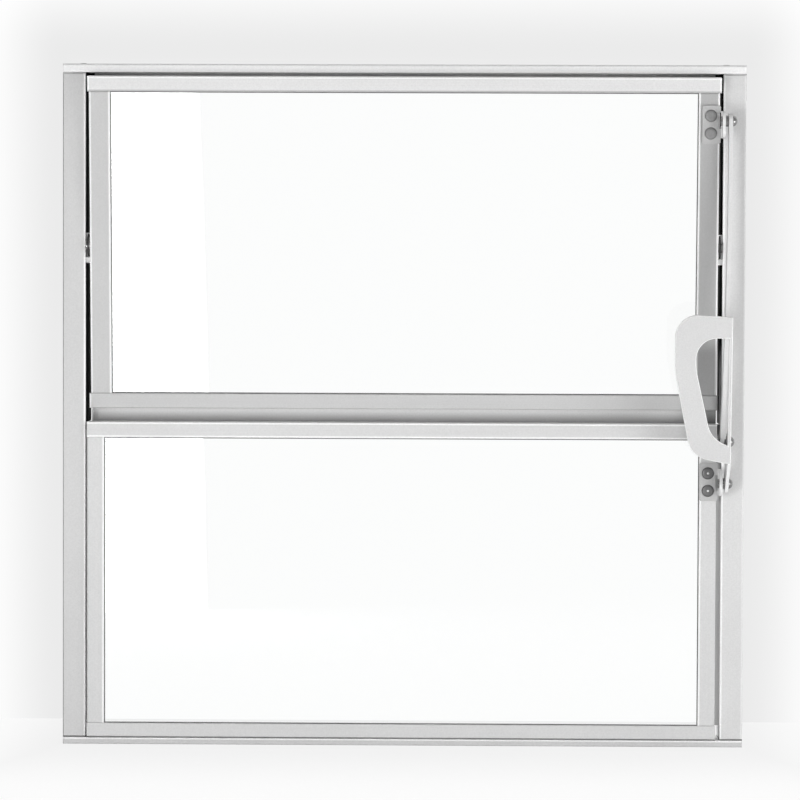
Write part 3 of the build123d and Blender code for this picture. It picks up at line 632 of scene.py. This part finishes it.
def pin_profile(start, steps):
    """Plain steps, each a length and a radius, and then a dome: a quarter of an ellipse up to the axis."""
    ends = start + np.cumsum([length for length, _ in steps])
    profile = [(start, 0.0)]
    for (length, radius), end in zip(steps, ends):
        profile += [(end - length, radius), (end, radius)]
    quarter = np.linspace(0.0, math.pi / 2, DOME_STEPS)
    dome = np.stack([ends[-1] + DOME_HEIGHT * np.sin(quarter), DOME_RADIUS * np.cos(quarter)], -1)
    dome[-1, 1] = 0.0
    return profile + dome.tolist()


pin_steel = quiet_steel("pin_steel", PIN_TONE, PIN_ROUGHNESS)
for node, (body, start, steps) in PIN_STEPS.items():
    low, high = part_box(node)
    seat = (low.x, (low.y + high.y) / 2, (low.z + high.z) / 2)
    profile = pin_profile(start, steps)
    piece = turned("turned_" + node, profile, [seat], (1, 0, 0), pin_steel, body)
    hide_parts(node)

# Lever and link
# The lever is stamped from thicker aluminium sheet, with its edges tumbled and a highlight painted along
# them.
# The link is a flat aluminium bar that the pins spring a little sideways.

LEVER_TONE = 0.66
LINK_TONE = 0.74
FLAT_NORMAL = 0.97
BEVEL_NORMAL = 0.9


def bevel_highlight(tree):
    """1 on flat faces, rising where the surface turns from one flat face to the next, for a painted
    highlight.

    A flat face looks along one axis, so the largest part of its normal is 1; on a bevel it falls to 0.7.
    """
    normal = tree.nodes.new("ShaderNodeTexCoord").outputs["Normal"]
    parts = parts_of(tree, vectors(tree, "ABSOLUTE", normal))
    largest = combined(tree, "MAXIMUM", combined(tree, "MAXIMUM", parts["X"], parts["Y"]), parts["Z"])
    return spread(tree, largest, FLAT_NORMAL, BEVEL_NORMAL, 1.0, HIGHLIGHT_TONE / LEVER_TONE)


dress(aluminium("lever_aluminium", LEVER_TONE, EVEN_GRAIN, bevel_highlight), "lever_handle")
dress(aluminium("link_aluminium", LINK_TONE, ALONG_UPRIGHT), "link_bar")

# Floor and backdrop
# A pale paper floor, and a pale paper sheet hung behind the window. Both carry a painted soft shadow round
# the frame, and the sheet is white where it is seen through the panes.

FLOOR_REACH = 6.0
FLOOR_TONE = 0.92
FLOOR_GLOW = 0.93
FLOOR_PAINTED_SHADOW = 0.91
FLOOR_PAINTED_SHADOW_REACH = 0.3
FOOTPRINT_SHY = 0.01
SHEET_DISTANCE = 0.16
SHEET_REACH = 3.0
PAINTED_SHADOW_TONE = 0.83
PAINTED_SHADOW_REACH = 0.08
PAINTED_SHADOW_RISE = 0.012
CAMERA_DISTANCE = 3.2
CAMERA_RIGHT = 0.0446
CAMERA_HEIGHT = 0.4255


def flat_sheet(name, corners, material):
    """Flat four-cornered sheet of the stage."""
    mesh = bpy.data.meshes.new(name)
    mesh.from_pydata(corners, [], [(0, 1, 2, 3)])
    mesh.materials.append(material)
    piece = bpy.data.objects.new(name, mesh)
    bpy.context.scene.collection.objects.link(piece)
    return piece


def seen_directly(tree):
    """1 for what the camera sees, also through glass, and 0 for light on its way to the object."""
    path = tree.nodes.new("ShaderNodeLightPath").outputs
    return combined(tree, "MAXIMUM", path["Is Camera Ray"], path["Is Transmission Ray"])


def stage_finish(name):
    """New material with no shader yet."""
    material = bpy.data.materials.new(name)
    material.use_nodes = True
    material.node_tree.nodes.clear()
    return material, material.node_tree


def floor_paper(centre, half):
    """Pale matt paper that glows a little by itself, so that its real shadow shows only faintly, with a
    painted soft shadow round the frame.
    """
    material, tree = stage_finish("floor_paper")
    matt = joined(tree, "ShaderNodeBsdfDiffuse", (FLOOR_TONE, FLOOR_TONE, FLOOR_TONE, 1.0))
    glow = tree.nodes.new("ShaderNodeEmission")
    beside = outside_box(tree, centre, (half[0], FLOOR_REACH, 1.0))
    before = outside_box(tree, centre, (FLOOR_REACH, half[1], 1.0))
    aside = fading(tree, beside, FLOOR_PAINTED_SHADOW, PAINTED_SHADOW_REACH)
    ahead = fading(tree, before, FLOOR_PAINTED_SHADOW, FLOOR_PAINTED_SHADOW_REACH)
    tree.links.new(combined(tree, "MAXIMUM", aside, ahead), glow.inputs["Strength"])
    share = combined(tree, "MULTIPLY", seen_directly(tree), FLOOR_GLOW)
    mix = joined(tree, "ShaderNodeMixShader", share, matt.outputs["BSDF"], glow.outputs["Emission"])
    joined(tree, "ShaderNodeOutputMaterial", mix.outputs["Shader"])
    return material


def backdrop_paper(centre, half):
    """White paper with a painted soft shadow behind the frame, white through glass; from behind it isn't
    seen.
    """
    material, tree = stage_finish("backdrop_paper")
    beyond = outside_box(tree, centre, half)
    parts = parts_of(tree, beyond)
    depth = combined(tree, "MAXIMUM", parts["X"], parts["Z"])
    within = spread(tree, depth, -PAINTED_SHADOW_REACH, 0.0, 1.0, PAINTED_SHADOW_TONE, "SMOOTHSTEP")
    backdrop_shadow = combined(tree, "MAXIMUM", fading(tree, beyond, PAINTED_SHADOW_TONE, PAINTED_SHADOW_REACH), within)
    through_glass = tree.nodes.new("ShaderNodeLightPath").outputs["Is Transmission Ray"]
    glow = tree.nodes.new("ShaderNodeEmission")
    tree.links.new(combined(tree, "MAXIMUM", backdrop_shadow, through_glass), glow.inputs["Strength"])
    away = tree.nodes.new("ShaderNodeNewGeometry").outputs["Backfacing"]
    clear = tree.nodes.new("ShaderNodeBsdfTransparent")
    mix = joined(tree, "ShaderNodeMixShader", away, glow.outputs["Emission"], clear.outputs["BSDF"])
    joined(tree, "ShaderNodeOutputMaterial", mix.outputs["Shader"])
    return material


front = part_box("left_jamb")[0].y
frame_low, frame_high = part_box("sill")[0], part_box("head")[1]
half_wide = (frame_high.x - frame_low.x) / 2
footprint_front = frame_low.y + FOOTPRINT_SHY
footprint = ((frame_low.x + frame_high.x) / 2, (footprint_front + SHEET_DISTANCE) / 2, 0.0)
footprint_half = (half_wide, (SHEET_DISTANCE - footprint_front) / 2, 1.0)
floor_corners = [(x * FLOOR_REACH, y * FLOOR_REACH, 0.0) for x, y in ((-1, -1), (1, -1), (1, 1), (-1, 1))]
flat_sheet("floor", floor_corners, floor_paper(footprint, footprint_half))

grow = (SHEET_DISTANCE - front + CAMERA_DISTANCE) / CAMERA_DISTANCE
frame_mid_z = (frame_low.z + frame_high.z) / 2
shadow_x = CAMERA_RIGHT * (1.0 - grow)
shadow_z = CAMERA_HEIGHT + (frame_mid_z - CAMERA_HEIGHT) * grow + PAINTED_SHADOW_RISE
paper = backdrop_paper((shadow_x, SHEET_DISTANCE, shadow_z), (half_wide * grow, 1.0, half_wide * grow))
sheet_corners = [
    (x * SHEET_REACH, SHEET_DISTANCE, z * SHEET_REACH) for x, z in ((-1, 0), (1, 0), (1, 1), (-1, 1))
]
backdrop = flat_sheet("backdrop", sheet_corners, paper)
backdrop.visible_diffuse = False
backdrop.visible_shadow = False

# Light and camera
# Two tall soft boxes stand left and right in front of the window, in a pale room that is brighter behind it.
# The camera is a long lens a little above the window's middle.

FRONT_LIGHT = 0.34
BACK_LIGHT = 0.8
BACK_FULL = 0.7
BOX_HEIGHT = 0.2
BOX_TALL = 0.6
LEFT_BOX = (-0.45, 1.2)
LEFT_BOX_WIDTH = 0.4
LEFT_POWER = 7.5
RIGHT_BOX = (1.0, 0.9)
RIGHT_BOX_WIDTH = 0.7
RIGHT_POWER = 7.0
CAMERA_YAW = math.radians(0.8485)
CAMERA_PITCH = math.radians(-2.148)
CAMERA_ROLL = math.radians(0.2115)
CAMERA_LENS = 163.72
CAMERA_SENSOR = 36.0

world = bpy.data.worlds.new("pale_room")
world.use_nodes = True
bpy.context.scene.world = world
air = world.node_tree
background = air.nodes["Background"]
background.inputs["Color"].default_value = (1.0, 1.0, 1.0, 1.0)
towards = air.nodes.new("ShaderNodeTexCoord").outputs["Generated"]
ambient = spread(air, parts_of(air, towards)["Y"], 0.0, BACK_FULL, FRONT_LIGHT, BACK_LIGHT)
air.links.new(combined(air, "MAXIMUM", seen_directly(air), ambient), background.inputs["Strength"])

middle = (cad_low + cad_high) / 2


def soft_box(name, place, width, power):
    """Tall light that faces the window, at a place so far across from its middle and so far in front."""
    across, distance = place
    lamp = bpy.data.lights.new(name, "AREA")
    lamp.shape = "RECTANGLE"
    lamp.size = width
    lamp.size_y = BOX_TALL
    lamp.energy = power
    holder = bpy.data.objects.new(name, lamp)
    holder.location = (across, front - distance, BOX_HEIGHT)
    aim = Vector((0.0, front, middle.z)) - holder.location
    holder.rotation_euler = aim.to_track_quat("-Z", "Y").to_euler()
    holder.visible_camera = False
    bpy.context.scene.collection.objects.link(holder)


soft_box("left_soft_box", LEFT_BOX, LEFT_BOX_WIDTH, LEFT_POWER)
soft_box("right_soft_box", RIGHT_BOX, RIGHT_BOX_WIDTH, RIGHT_POWER)

forward = Vector((
    -math.sin(CAMERA_YAW) * math.cos(CAMERA_PITCH),
    math.cos(CAMERA_YAW) * math.cos(CAMERA_PITCH),
    math.sin(CAMERA_PITCH),
))
level_right = Vector((math.cos(CAMERA_YAW), math.sin(CAMERA_YAW), 0.0))
level_up = level_right.cross(forward)
right = level_right * math.cos(CAMERA_ROLL) + level_up * math.sin(CAMERA_ROLL)
up = right.cross(forward)
camera_data = bpy.data.cameras.new("camera")
camera_data.lens = CAMERA_LENS
camera_data.sensor_width = CAMERA_SENSOR
camera = bpy.data.objects.new("camera", camera_data)
turn = Matrix((right, up, -forward)).transposed()
stand = Vector((CAMERA_RIGHT, front - CAMERA_DISTANCE, CAMERA_HEIGHT))
camera.matrix_world = Matrix.Translation(stand) @ turn.to_4x4()
bpy.context.scene.collection.objects.link(camera)
bpy.context.scene.camera = camera
bpy.context.scene.view_settings.view_transform = "Standard"
